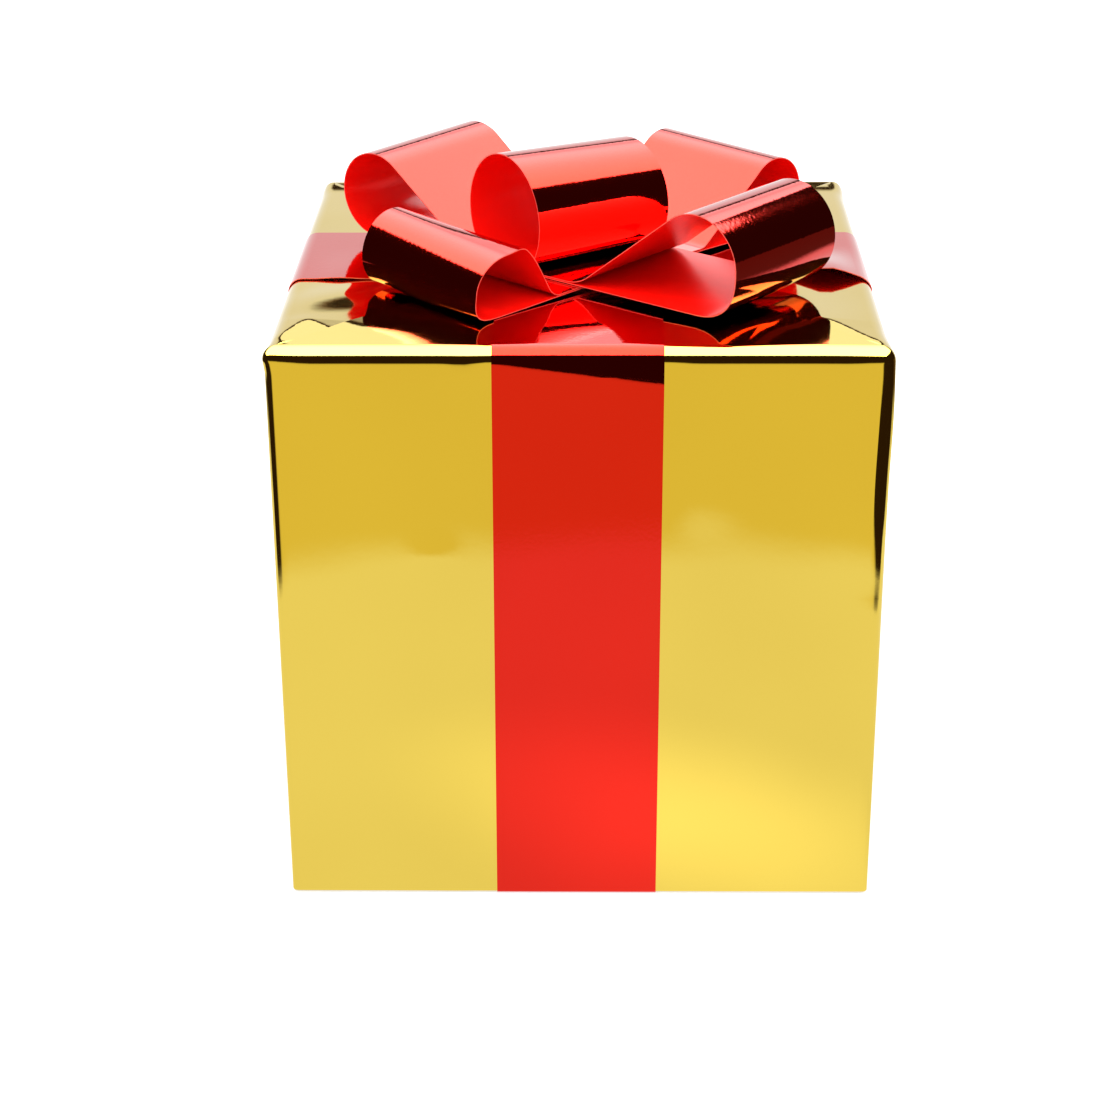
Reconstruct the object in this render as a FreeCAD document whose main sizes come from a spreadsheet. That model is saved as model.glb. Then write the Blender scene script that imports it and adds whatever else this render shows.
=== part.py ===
"""A wrapped cube gift box: corrugated carton, mirror-gold film wrap, a cross of red
metallised ribbon, and a stick-on bow of two looped strips and a ring on one rivet.

Millimetres, +Z up. The origin is the middle of the face that the box stands on, and the
front, where the wrap shows no seam, looks along -Y.
"""
import math
import os

import FreeCAD
import Part
import Sketcher

doc = FreeCAD.newDocument("gift_box")

# Driving sizes

SIZES = {
    # carton, of corrugated board
    "carton_width": 181.0,
    "carton_depth": 181.0,
    "carton_height": 180.0,
    "board": 3.0,
    "carton_corner": 4.0,
    "flap_gap": 0.4,
    "carton_tape_width": 48.0,
    "carton_tape_thick": 0.1,
    # film wrap and its clear tape
    "wrap_film": 0.25,
    "lap_width": 20.0,
    "lap_middle": 50.0,
    "clear_tape_length": 60.0,
    "clear_tape_width": 18.0,
    "clear_tape_thick": 0.1,
    # ribbon round the box
    "ribbon_width": 50.0,
    "ribbon_film": 0.25,
    "ribbon_shift": -1.0,
    # fastening of the bow
    "bow_x": -2.0,
    "bow_y": -7.0,
    "pad_diameter": 34.0,
    "pad_thick": 1.0,
    "card_diameter": 40.0,
    "card_thick": 0.5,
    "rivet_shank": 3.0,
    "rivet_head": 7.0,
    "rivet_head_thick": 0.5,
    "rivet_clearance": 0.15,
    # film of the bow, and the room between its layers at the rivet
    "bow_film": 0.3,
    "pinch_gap": 0.2,
    "layer_gap": 0.1,
    # lower strip: one loop to the back right, one to the front left
    "lower_azimuth": 46.5,
    "lower_back_reach": 80.0,
    "lower_back_bend": 12.0,
    "lower_front_reach": 68.0,
    "lower_front_bend": 11.5,
    "lower_split_margin": 7.0,
    "lower_sweep": 6.0,
    # upper strip: one loop to the front right, one to the back left
    "upper_azimuth": -39.5,
    "upper_front_reach": 82.0,
    "upper_front_bend": 15.0,
    "upper_back_reach": 76.0,
    "upper_back_bend": 13.5,
    "upper_split_inset": 7.0,
    "upper_sweep": 14.0,
    # ring on top
    "ring_azimuth": 37.0,
    "ring_flat": 12.0,
    "ring_corner": 12.0,
    "ring_rise": 2.5,
    "ring_shift": 2.4,
}

sheet = doc.addObject("Spreadsheet::Sheet", "Sizes")
for row, (alias, value) in enumerate(SIZES.items(), start=1):
    sheet.set(f"A{row}", alias)
    sheet.set(f"B{row}", str(value))
    sheet.setAlias(f"B{row}", alias)
doc.recompute()


def cell(alias):
    """The expression that reads one size."""
    return f"Sizes.{alias}"


def size(alias):
    """The present value of one size, for a sketch's first geometry."""
    return float(sheet.get(alias))


# Heights and outer sizes that follow from the driving sizes, as expressions

CARTON_W = cell("carton_width")
CARTON_D = cell("carton_depth")
CARTON_H = cell("carton_height")
BOARD = cell("board")
CARTON_TAPE = cell("carton_tape_thick")
WRAP_FILM = cell("wrap_film")
CLEAR_TAPE = cell("clear_tape_thick")
RIBBON_FILM = cell("ribbon_film")
RIBBON_W = cell("ribbon_width")
BOW_FILM = cell("bow_film")

WRAP_Z = f"(2 * {RIBBON_FILM} + {CLEAR_TAPE})"
WRAP_IN_Z = f"({WRAP_Z} + {WRAP_FILM})"
WRAP_IN_W = f"({CARTON_W} + 2 * {CARTON_TAPE})"
WRAP_IN_D = f"({CARTON_D} + 2 * {CARTON_TAPE})"
WRAP_IN_H = f"({CARTON_H} + 2 * {CARTON_TAPE})"
WRAP_W = f"({WRAP_IN_W} + 2 * {WRAP_FILM})"
WRAP_D = f"({WRAP_IN_D} + 2 * {WRAP_FILM})"
WRAP_H = f"({WRAP_IN_H} + 2 * {WRAP_FILM})"
WRAP_IN_CORNER = f"({cell('carton_corner')} + {CARTON_TAPE})"
WRAP_CORNER = f"({WRAP_IN_CORNER} + {WRAP_FILM})"
WRAP_TOP = f"({WRAP_Z} + {WRAP_H})"
CARTON_Z = f"({WRAP_IN_Z} + {CARTON_TAPE})"
CARTON_TOP = f"({CARTON_Z} + {CARTON_H})"
RIBBON_TOP = f"({WRAP_TOP} + {CLEAR_TAPE} + 2 * {RIBBON_FILM})"
CARD_Z = f"({RIBBON_TOP} + {cell('pad_thick')})"
STRIP_STEP = f"({cell('pinch_gap')} + 2 * {BOW_FILM} + {cell('layer_gap')})"
LOWER_Z = f"({CARD_Z} + {cell('card_thick')} + {BOW_FILM})"
UPPER_Z = f"({LOWER_Z} + {STRIP_STEP})"
RING_Z = f"({UPPER_Z} + {STRIP_STEP})"


# Helpers: every size and place is an expression

def bind(obj, expressions):
    for name, expression in expressions.items():
        obj.setExpression(name, expression)
    return obj


def at(obj, x="0", y="0", z="0", turn=None):
    """Binds the place of an object, and its turn about the vertical in degrees."""
    obj.Placement = FreeCAD.Placement(FreeCAD.Vector(), FreeCAD.Rotation(FreeCAD.Vector(0, 0, 1), 1))
    bind(obj, {"Placement.Base.x": x, "Placement.Base.y": y, "Placement.Base.z": z})
    obj.setExpression("Placement.Rotation.Angle", turn or "0")
    return obj


def box(name, width, depth, height, x, y, z):
    """A block given by its sizes and its lowest corner."""
    block = doc.addObject("Part::Box", name)
    bind(block, {"Length": width, "Width": depth, "Height": height})
    return at(block, x, y, z)


def middle_box(name, width, depth, height, z, x="0", y="0"):
    """A block whose footprint is centred on x and y."""
    return box(name, width, depth, height, f"{x} - {width} / 2", f"{y} - {depth} / 2", z)


def cylinder(name, diameter, height, z, x="0", y="0"):
    round_bar = doc.addObject("Part::Cylinder", name)
    bind(round_bar, {"Radius": f"{diameter} / 2", "Height": height})
    return at(round_bar, x, y, z)


def cut(name, base, tool):
    result = doc.addObject("Part::Cut", name)
    result.Base = base
    result.Tool = tool
    return result


def common(name, base, tool):
    result = doc.addObject("Part::Common", name)
    result.Base = base
    result.Tool = tool
    return result


def fuse(name, *pieces):
    result = doc.addObject("Part::MultiFuse", name)
    result.Shapes = list(pieces)
    result.Refine = True
    return result


def rounded_block(name, width, depth, height, corner, z):
    """A block with every edge rounded, as a folded board or film rounds it."""
    body = doc.addObject("PartDesign::Body", name)
    plane = next(p for p in body.Origin.OriginFeatures if p.Role == "XY_Plane")
    sketch = body.newObject("Sketcher::SketchObject", name + "_plan")
    sketch.AttachmentSupport = [(plane, "")]
    sketch.MapMode = "FlatFace"
    half_w = size("carton_width") / 2
    half_d = size("carton_depth") / 2
    corners = [(-half_w, -half_d), (half_w, -half_d), (half_w, half_d), (-half_w, half_d)]
    points = [FreeCAD.Vector(px, py, 0) for px, py in corners]
    for start, end in zip(points, points[1:] + points[:1]):
        sketch.addGeometry(Part.LineSegment(start, end), False)
    for side in range(4):
        sketch.addConstraint(Sketcher.Constraint("Coincident", side, 2, (side + 1) % 4, 1))
    for side, direction in enumerate(("Horizontal", "Vertical", "Horizontal", "Vertical")):
        sketch.addConstraint(Sketcher.Constraint(direction, side))
    sketch.addConstraint(Sketcher.Constraint("Symmetric", 0, 1, 1, 2, -1, 1))
    wide = sketch.addConstraint(Sketcher.Constraint("DistanceX", 0, 1, 0, 2, 2 * half_w))
    deep = sketch.addConstraint(Sketcher.Constraint("DistanceY", 1, 1, 1, 2, 2 * half_d))
    bind(sketch, {f"Constraints[{wide}]": width, f"Constraints[{deep}]": depth})
    pad = body.newObject("PartDesign::Pad", name + "_pad")
    pad.Profile = sketch
    bind(pad, {"Length": height})
    doc.recompute()
    fillet = body.newObject("PartDesign::Fillet", name + "_edges")
    fillet.Base = (pad, ["Face1"])
    fillet.UseAllEdges = True
    bind(fillet, {"Radius": corner})
    body.Tip = fillet
    return at(body, z=z)


nodes = []


def node(obj, label):
    """Names a finished sub-part."""
    obj.Label = label
    nodes.append(obj)
    return obj


# Carton: a slotted carton, its minor flaps under its major ones, top and bottom

carton_form = rounded_block("carton_form", CARTON_W, CARTON_D, CARTON_H, cell("carton_corner"), CARTON_Z)
WALL_Z = f"({CARTON_Z} + {BOARD})"
WALL_H = f"({CARTON_H} - 2 * {BOARD})"
INNER_W = f"({CARTON_W} - 2 * {BOARD})"
INNER_D = f"({CARTON_D} - 2 * {BOARD})"
MAJOR_FLAP = f"(({CARTON_D} - {cell('flap_gap')}) / 2)"
MINOR_FLAP = f"(({CARTON_W} - {cell('flap_gap')}) / 2)"


def carton_walls():
    tube = common("carton_tube", carton_form, middle_box("wall_slab", CARTON_W, CARTON_D, WALL_H, WALL_Z))
    hollow = middle_box("carton_hollow", INNER_W, INNER_D, CARTON_H, CARTON_Z)
    top_seat = middle_box("minor_seat_top", CARTON_W, INNER_D, BOARD, f"{CARTON_TOP} - 2 * {BOARD}")
    bottom_seat = middle_box("minor_seat_bottom", CARTON_W, INNER_D, BOARD, WALL_Z)
    return node(cut("walls", tube, fuse("wall_openings", hollow, top_seat, bottom_seat)), "carton_walls")


def carton_flaps(end, major_z, minor_z):
    """The four flaps that close one end of the carton."""
    front_slab = box(f"front_slab_{end}", CARTON_W, MAJOR_FLAP, BOARD,
                     f"-{CARTON_W} / 2", f"-{CARTON_D} / 2", major_z)
    back_slab = box(f"back_slab_{end}", CARTON_W, MAJOR_FLAP, BOARD,
                    f"-{CARTON_W} / 2", f"{cell('flap_gap')} / 2", major_z)
    node(common(f"flap_{end}_front", carton_form, front_slab), f"carton_{end}_flap_front")
    node(common(f"flap_{end}_back", carton_form, back_slab), f"carton_{end}_flap_back")
    for side, x in (("left", f"-{CARTON_W} / 2"), ("right", f"{cell('flap_gap')} / 2")):
        slab = box(f"{side}_slab_{end}", MINOR_FLAP, INNER_D, BOARD, x, f"-{INNER_D} / 2", minor_z)
        node(common(f"flap_{end}_{side}", carton_form, slab), f"carton_{end}_flap_{side}")


def carton_tape(end, z):
    """The packing tape along the seam between the major flaps."""
    length = f"({CARTON_W} - 2 * {cell('carton_corner')})"
    strip = middle_box(f"tape_{end}", length, cell("carton_tape_width"), CARTON_TAPE, z)
    node(strip, f"carton_tape_{end}")


carton_walls()
carton_flaps("top", f"{CARTON_TOP} - {BOARD}", f"{CARTON_TOP} - 2 * {BOARD}")
carton_flaps("bottom", CARTON_Z, WALL_Z)
carton_tape("top", CARTON_TOP)
carton_tape("bottom", f"{CARTON_Z} - {CARTON_TAPE}")

# Film wrap: a sleeve round the four sides, and four mitred folds over each end

wrap_out = rounded_block("wrap_out", WRAP_W, WRAP_D, WRAP_H, WRAP_CORNER, WRAP_Z)
wrap_in = rounded_block("wrap_in", WRAP_IN_W, WRAP_IN_D, WRAP_IN_H, WRAP_IN_CORNER, WRAP_IN_Z)
wrap_shell = cut("wrap_shell", wrap_out, wrap_in)
SLEEVE_Z = f"({WRAP_Z} + {WRAP_CORNER})"
SLEEVE_H = f"({WRAP_H} - 2 * {WRAP_CORNER})"
FOLD_CORNERS = {
    "front": ((-1, -1), (1, -1)),
    "right": ((1, -1), (1, 1)),
    "back": ((1, 1), (-1, 1)),
    "left": ((-1, 1), (-1, -1)),
}


def wrap_sleeve():
    """The sleeve, with the lap where its two ends meet at the back."""
    tube = common("sleeve_tube", wrap_shell, middle_box("sleeve_slab", WRAP_W, WRAP_D, SLEEVE_H, SLEEVE_Z))
    lap_x = f"{cell('lap_middle')} - {cell('lap_width')} / 2"
    lap = box("sleeve_lap", cell("lap_width"), WRAP_FILM, SLEEVE_H, lap_x, f"{WRAP_D} / 2", SLEEVE_Z)
    node(fuse("sleeve", tube, lap), "wrap_sleeve")


def end_quarter(name, corners, z):
    """The quarter of an end between its middle and two of its corners, as a low prism."""
    sketch = doc.addObject("Sketcher::SketchObject", name + "_plan")
    half_w = size("carton_width") / 2
    half_d = size("carton_depth") / 2
    points = [FreeCAD.Vector()] + [FreeCAD.Vector(sx * half_w, sy * half_d, 0) for sx, sy in corners]
    for start, end in zip(points, points[1:] + points[:1]):
        sketch.addGeometry(Part.LineSegment(start, end), False)
    for side in range(3):
        sketch.addConstraint(Sketcher.Constraint("Coincident", side, 2, (side + 1) % 3, 1))
    sketch.addConstraint(Sketcher.Constraint("Coincident", 0, 1, -1, 1))
    for side, (sx, sy) in enumerate(corners, start=1):
        for direction, sign, half, whole in (("DistanceX", sx, half_w, WRAP_W), ("DistanceY", sy, half_d, WRAP_D)):
            ends = (-1, 1, side, 1) if sign > 0 else (side, 1, -1, 1)
            number = sketch.addConstraint(Sketcher.Constraint(direction, *ends, half))
            sketch.setExpression(f"Constraints[{number}]", f"{whole} / 2")
    bind(sketch, {"Placement.Base.z": z})
    prism = doc.addObject("Part::Extrusion", name)
    prism.Base = sketch
    prism.DirMode = "Normal"
    prism.Solid = True
    return bind(prism, {"LengthFwd": WRAP_CORNER})


def wrap_folds(end, z):
    """Each fold is the quarter of the end between two diagonals, with its rounded edge."""
    for side, corners in FOLD_CORNERS.items():
        quarter = end_quarter(f"quarter_{end}_{side}", corners, z)
        node(common(f"fold_{end}_{side}", wrap_shell, quarter), f"wrap_{end}_fold_{side}")


def wrap_tapes():
    """Clear tape over the meeting folds at both ends, and on the lap."""
    length = cell("clear_tape_length")
    width = cell("clear_tape_width")
    top = middle_box("clear_top", length, width, CLEAR_TAPE, WRAP_TOP)
    bottom = middle_box("clear_bottom", length, width, CLEAR_TAPE, f"{WRAP_Z} - {CLEAR_TAPE}")
    seam_z = f"{WRAP_Z} + ({WRAP_H} - {length}) / 2"
    seam_x = f"{cell('lap_middle')} - {width} / 2"
    seam = box("clear_seam", width, CLEAR_TAPE, length, seam_x, f"{WRAP_D} / 2 + {WRAP_FILM}", seam_z)
    node(top, "wrap_top_tape")
    node(bottom, "wrap_bottom_tape")
    node(seam, "wrap_seam_tape")


wrap_sleeve()
wrap_folds("top", f"{WRAP_TOP} - {WRAP_CORNER}")
wrap_folds("bottom", WRAP_Z)
wrap_tapes()

# Ribbon: a band from front to back, and a band from left to right over it


def ribbon_band(label, layer, slab):
    """A closed band round the wrapped box. Layer 1 lies on the wrap, layer 2 on layer 1."""
    name = f"band_{layer}"
    rise = f"({CLEAR_TAPE} + {layer} * {RIBBON_FILM})"
    sunk = f"({CLEAR_TAPE} + {layer - 1} * {RIBBON_FILM})"
    outside = rounded_block(
        name + "_out", f"{WRAP_W} + 2 * {RIBBON_FILM}", f"{WRAP_D} + 2 * {RIBBON_FILM}",
        f"{WRAP_H} + 2 * {rise}", f"{WRAP_CORNER} + {RIBBON_FILM}", f"{WRAP_Z} - {rise}")
    inside = rounded_block(
        name + "_in", WRAP_W, WRAP_D, f"{WRAP_H} + 2 * {sunk}", WRAP_CORNER, f"{WRAP_Z} - {sunk}")
    return node(common(name, cut(name + "_shell", outside, inside), slab), label)


BAND_H = f"({RIBBON_TOP} + {CARTON_H})"
ribbon_band("ribbon_front_back", 1, middle_box(
    "front_back_slab", RIBBON_W, f"2 * {WRAP_D}", BAND_H, f"-{CARTON_H} / 2", x=cell("ribbon_shift")))
ribbon_band("ribbon_left_right", 2, middle_box(
    "left_right_slab", f"2 * {WRAP_W}", RIBBON_W, BAND_H, f"-{CARTON_H} / 2"))

# Bow: pad, card and rivet

BOW = {"x": cell("bow_x"), "y": cell("bow_y")}
SHANK_HOLE = f"({cell('rivet_shank')} + 2 * {cell('rivet_clearance')})"
HEAD_HOLE = f"({cell('rivet_head')} + 2 * {cell('rivet_clearance')})"


def bow_fastening():
    pad_disc = cylinder("pad_disc", cell("pad_diameter"), cell("pad_thick"), RIBBON_TOP, **BOW)
    pad_hole = cylinder("pad_hole", HEAD_HOLE, cell("pad_thick"), RIBBON_TOP, **BOW)
    node(cut("pad", pad_disc, pad_hole), "bow_pad")
    card_disc = cylinder("card_disc", cell("card_diameter"), cell("card_thick"), CARD_Z, **BOW)
    card_hole = cylinder("card_hole", SHANK_HOLE, cell("card_thick"), CARD_Z, **BOW)
    node(cut("card", card_disc, card_hole), "bow_card")
    head = cell("rivet_head_thick")
    low = cylinder("rivet_low_head", cell("rivet_head"), head, f"{CARD_Z} - {head}", **BOW)
    high = cylinder("rivet_high_head", cell("rivet_head"), head, RING_Z, **BOW)
    shank = cylinder("rivet_bar", cell("rivet_shank"), f"{RING_Z} - {CARD_Z}", CARD_Z, **BOW)
    node(fuse("rivet", low, shank, high), "bow_rivet")


# Bow: film strips. Each is a path in its own upright plane, thickened outwards and drawn
# across the ribbon's width, with a hole for the rivet

def upright_sketch(name):
    sketch = doc.addObject("Sketcher::SketchObject", name)
    upright = FreeCAD.Rotation(FreeCAD.Vector(1, 0, 0), 90)
    sketch.Placement = FreeCAD.Placement(FreeCAD.Vector(), upright)
    return sketch


def film_strip(name, sketch, label, z, turn, shift="0"):
    """Makes the closed path of a sketch into a strip of film on the rivet."""
    wall = doc.addObject("Part::Offset2D", name + "_wall")
    wall.Source = sketch
    wall.Fill = True
    bind(wall, {"Value": BOW_FILM})
    strip = doc.addObject("Part::Extrusion", name + "_strip")
    strip.Base = wall
    strip.DirMode = "Normal"
    strip.Solid = True
    bind(strip, {"LengthFwd": f"{RIBBON_W} / 2", "LengthRev": f"{RIBBON_W} / 2"})
    low_layers = f"(2 * {BOW_FILM} + {cell('pinch_gap')})"
    hole = cylinder(name + "_hole", SHANK_HOLE, f"{low_layers} + {cell('layer_gap')} / 2",
                    f"-{BOW_FILM} - {cell('layer_gap')} / 4", x=shift)
    film = cut(name, strip, hole)
    x = f"{BOW['x']} - ({shift}) * cos({turn})"
    y = f"{BOW['y']} - ({shift}) * sin({turn})"
    at(film, x, y, z, turn=turn)
    return node(film, label)


def on_circle(centre, radius, angle):
    return FreeCAD.Vector(centre[0] + radius * math.cos(angle), centre[1] + radius * math.sin(angle), 0)


def arc(centre, radius, start, end):
    """An arc from one angle round to a larger one."""
    circle = Part.Circle(FreeCAD.Vector(centre[0], centre[1], 0), FreeCAD.Vector(0, 0, 1), radius)
    return Part.ArcOfCircle(circle, start, end)


def crossing_line(sweep_centre, sweep, bend_centre, bend):
    """The angle, seen from the sweep's centre, at which the straight run leaves it for the bend."""
    across = bend_centre[0] - sweep_centre[0]
    rise = bend_centre[1] - sweep_centre[1]
    return math.atan2(rise, across) - math.acos((bend + sweep) / math.hypot(across, rise))


def pinched_path(name, plus, minus, split, sweep):
    """A long loop pinched flat at its middle. plus and minus are the reach and the bend of
    its two ends, split is where the upper run leaves the lower one, on a curve of radius sweep."""
    sketch = upright_sketch(name)
    gap = size("pinch_gap")
    reach = [size(plus[0]), size(minus[0])]
    bend = [size(plus[1]), size(minus[1])]
    split_now = split[1]
    curve = size(sweep)
    bend_x = [reach[0] - bend[0], reach[1] - bend[1]]
    leave = [crossing_line((split_now, gap + curve), curve, (bend_x[i], bend[i]), bend[i]) for i in (0, 1)]
    right_sweep = (split_now, gap + curve)
    left_sweep = (-split_now, gap + curve)
    right_bend = (bend_x[0], bend[0])
    left_bend = (-bend_x[1], bend[1])
    mirrored = math.pi - leave[1]
    geometry = [
        Part.LineSegment(FreeCAD.Vector(left_bend[0], 0, 0), FreeCAD.Vector(right_bend[0], 0, 0)),
        arc(right_bend, bend[0], -math.pi / 2, leave[0] + math.pi),
        Part.LineSegment(on_circle(right_bend, bend[0], leave[0] + math.pi),
                         on_circle(right_sweep, curve, leave[0])),
        arc(right_sweep, curve, -math.pi / 2, leave[0]),
        Part.LineSegment(FreeCAD.Vector(split_now, gap, 0), FreeCAD.Vector(-split_now, gap, 0)),
        arc(left_sweep, curve, mirrored, 1.5 * math.pi),
        Part.LineSegment(on_circle(left_sweep, curve, mirrored),
                         on_circle(left_bend, bend[1], mirrored + math.pi)),
        arc(left_bend, bend[1], mirrored + math.pi, 1.5 * math.pi + 2 * math.pi),
    ]
    sketch.addGeometry(geometry, False)
    floor, right, rise_right, foot_right, waist, foot_left, rise_left, left = range(8)
    joints = [(floor, 2, right, 1), (right, 2, rise_right, 1), (rise_right, 2, foot_right, 2),
              (foot_right, 1, waist, 1), (waist, 2, foot_left, 2), (foot_left, 1, rise_left, 1),
              (rise_left, 2, left, 1), (left, 2, floor, 1)]
    for joint in joints:
        sketch.addConstraint(Sketcher.Constraint("Tangent", *joint))
    sketch.addConstraint(Sketcher.Constraint("PointOnObject", floor, 1, -1))
    sketch.addConstraint(Sketcher.Constraint("Horizontal", floor))
    sketch.addConstraint(Sketcher.Constraint("Horizontal", waist))
    sized = {
        Sketcher.Constraint("DistanceY", -1, 1, waist, 1, gap): cell("pinch_gap"),
        Sketcher.Constraint("DistanceX", -1, 1, waist, 1, split_now): split[0],
        Sketcher.Constraint("DistanceX", waist, 2, -1, 1, split_now): split[0],
        Sketcher.Constraint("Radius", foot_right, curve): cell(sweep),
        Sketcher.Constraint("Radius", foot_left, curve): cell(sweep),
        Sketcher.Constraint("Radius", right, bend[0]): cell(plus[1]),
        Sketcher.Constraint("Radius", left, bend[1]): cell(minus[1]),
        Sketcher.Constraint("DistanceX", -1, 1, floor, 2, bend_x[0]): f"{cell(plus[0])} - {cell(plus[1])}",
        Sketcher.Constraint("DistanceX", floor, 1, -1, 1, bend_x[1]): f"{cell(minus[0])} - {cell(minus[1])}",
    }
    for constraint, expression in sized.items():
        number = sketch.addConstraint(constraint)
        sketch.setExpression(f"Constraints[{number}]", expression)
    return sketch


def ring_path(name):
    """A round loop with a flat foot: two corner arcs and one large arc over them."""
    sketch = upright_sketch(name)
    half = size("ring_flat") / 2
    corner = size("ring_corner")
    rise = size("ring_rise")
    large = corner + math.hypot(half, rise)
    lean = math.atan2(-rise, half)
    crown = (0, corner + rise)
    geometry = [
        Part.LineSegment(FreeCAD.Vector(-half, 0, 0), FreeCAD.Vector(half, 0, 0)),
        arc((half, corner), corner, -math.pi / 2, lean),
        arc(crown, large, lean, math.pi - lean),
        arc((-half, corner), corner, math.pi - lean, 1.5 * math.pi),
    ]
    sketch.addGeometry(geometry, False)
    foot, right, over, left = range(4)
    for joint in [(foot, 2, right, 1), (right, 2, over, 1), (over, 2, left, 1), (left, 2, foot, 1)]:
        sketch.addConstraint(Sketcher.Constraint("Tangent", *joint))
    sketch.addConstraint(Sketcher.Constraint("Horizontal", foot))
    sketch.addConstraint(Sketcher.Constraint("Symmetric", foot, 1, foot, 2, -1, 1))
    sketch.addConstraint(Sketcher.Constraint("Equal", right, left))
    sized = {
        Sketcher.Constraint("DistanceX", foot, 1, foot, 2, 2 * half): cell("ring_flat"),
        Sketcher.Constraint("Radius", right, corner): cell("ring_corner"),
        Sketcher.Constraint("DistanceY", right, 3, over, 3, rise): cell("ring_rise"),
    }
    for constraint, expression in sized.items():
        number = sketch.addConstraint(constraint)
        sketch.setExpression(f"Constraints[{number}]", expression)
    return sketch


LOWER_SPLIT = (f"{RIBBON_W} / 2 + {cell('lower_split_margin')}",
               size("ribbon_width") / 2 + size("lower_split_margin"))
UPPER_SPLIT = (f"{RIBBON_W} / 2 - {cell('upper_split_inset')}",
               size("ribbon_width") / 2 - size("upper_split_inset"))

bow_fastening()
lower_path = pinched_path("lower_path", ("lower_back_reach", "lower_back_bend"),
                          ("lower_front_reach", "lower_front_bend"), LOWER_SPLIT, "lower_sweep")
film_strip("lower", lower_path, "bow_loops_lower", LOWER_Z, cell("lower_azimuth"))
upper_path = pinched_path("upper_path", ("upper_front_reach", "upper_front_bend"),
                          ("upper_back_reach", "upper_back_bend"), UPPER_SPLIT, "upper_sweep")
film_strip("upper", upper_path, "bow_loops_upper", UPPER_Z, cell("upper_azimuth"))
film_strip("ring", ring_path("ring_outline"), "bow_ring", RING_Z,
           f"{cell('ring_azimuth')} + 90", f"-{cell('ring_shift')}")

# Checks, then one file for each sub-part

doc.recompute()
for obj in doc.Objects:
    if "Invalid" in obj.State or "Error" in obj.State:
        raise RuntimeError(f"{obj.Name} did not build: {obj.State}")
for obj in nodes:
    shape = obj.Shape
    if shape.isNull() or not shape.isValid() or len(shape.Solids) != 1:
        raise RuntimeError(f"{obj.Label} is not one sound solid")

os.makedirs("parts", exist_ok=True)
for obj in nodes:
    obj.Shape.exportStep(f"parts/{obj.Label}.step")
print(len(nodes), "sub-parts")
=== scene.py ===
"""Looks of a wrapped cube gift box: a carton in mirror-gold film, a cross of red metallised
ribbon, and a stick-on bow of two looped strips and a ring. Metres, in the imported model's frame."""
import math

import bmesh
import bpy
from mathutils import Matrix, Vector


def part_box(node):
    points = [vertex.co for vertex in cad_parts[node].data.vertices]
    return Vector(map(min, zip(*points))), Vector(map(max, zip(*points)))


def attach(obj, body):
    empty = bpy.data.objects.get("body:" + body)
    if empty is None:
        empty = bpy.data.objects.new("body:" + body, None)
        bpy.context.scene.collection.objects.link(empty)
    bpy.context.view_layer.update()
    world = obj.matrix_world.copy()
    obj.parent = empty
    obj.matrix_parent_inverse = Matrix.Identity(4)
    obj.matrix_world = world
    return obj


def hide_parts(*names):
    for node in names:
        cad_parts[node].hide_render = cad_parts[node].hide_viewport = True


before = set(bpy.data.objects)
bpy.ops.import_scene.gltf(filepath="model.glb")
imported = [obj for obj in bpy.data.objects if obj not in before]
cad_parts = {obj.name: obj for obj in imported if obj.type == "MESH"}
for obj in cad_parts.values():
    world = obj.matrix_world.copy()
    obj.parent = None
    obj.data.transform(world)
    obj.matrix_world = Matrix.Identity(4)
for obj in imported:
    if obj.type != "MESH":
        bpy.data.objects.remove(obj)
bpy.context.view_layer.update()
MM = 0.001

# Carton
# A slotted carton of single-wall corrugated kraft board, closed at both ends by four flaps and a
# strip of brown packing tape. The film hides it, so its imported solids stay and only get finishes.


def linear(code):
    """A screen colour such as C89A62 as the linear colour that a shader takes."""
    parts = [int(code[i:i + 2], 16) / 255 for i in (0, 2, 4)]
    return tuple(c / 12.92 if c <= 0.04045 else ((c + 0.055) / 1.055) ** 2.4 for c in parts) + (1.0,)


def add(tree, kind, inputs=None, **fields):
    """Adds one node. fields are its own settings, inputs its sockets: a value, or an output to link."""
    made = tree.nodes.new(kind)
    for field, value in fields.items():
        setattr(made, field, value)
    for socket, value in (inputs or {}).items():
        if isinstance(value, bpy.types.NodeSocket):
            tree.links.new(value, made.inputs[socket])
        else:
            made.inputs[socket].default_value = value
    return made


def new_finish(name):
    """An empty material, its node tree and its Object coordinates."""
    finish = bpy.data.materials.new(name)
    finish.use_nodes = True
    finish.node_tree.nodes.clear()
    return finish, finish.node_tree, add(finish.node_tree, "ShaderNodeTexCoord").outputs["Object"]


def dress(prefix, finish):
    """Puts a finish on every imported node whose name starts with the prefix."""
    for name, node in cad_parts.items():
        if name.startswith(prefix):
            for slot in node.material_slots:
                slot.material = finish


# Kraft board: short brown fibres, with the flutes showing faintly through the liner. A wave texture
# of scale 1 repeats every 0.314 units.
WAVE_REPEAT = 0.314
FLUTE_PITCH = 7.5 * MM
FIBRE_LENGTH = 3.0 * MM
kraft_board, tree, coords = new_finish("kraft_board")
flutes = add(tree, "ShaderNodeTexWave", {"Vector": coords, "Scale": WAVE_REPEAT / FLUTE_PITCH,
                                         "Distortion": 0.4}, bands_direction="X")
fibres = add(tree, "ShaderNodeTexNoise", {"Vector": coords, "Scale": 1 / FIBRE_LENGTH, "Detail": 6.0})
tone = add(tree, "ShaderNodeMix", {"Factor": fibres.outputs["Fac"],
                                   6: linear("A97C4B"), 7: linear("C99F6C")}, data_type="RGBA")
ridges = add(tree, "ShaderNodeBump", {"Height": flutes.outputs["Fac"], "Distance": 0.08 * MM})
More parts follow.
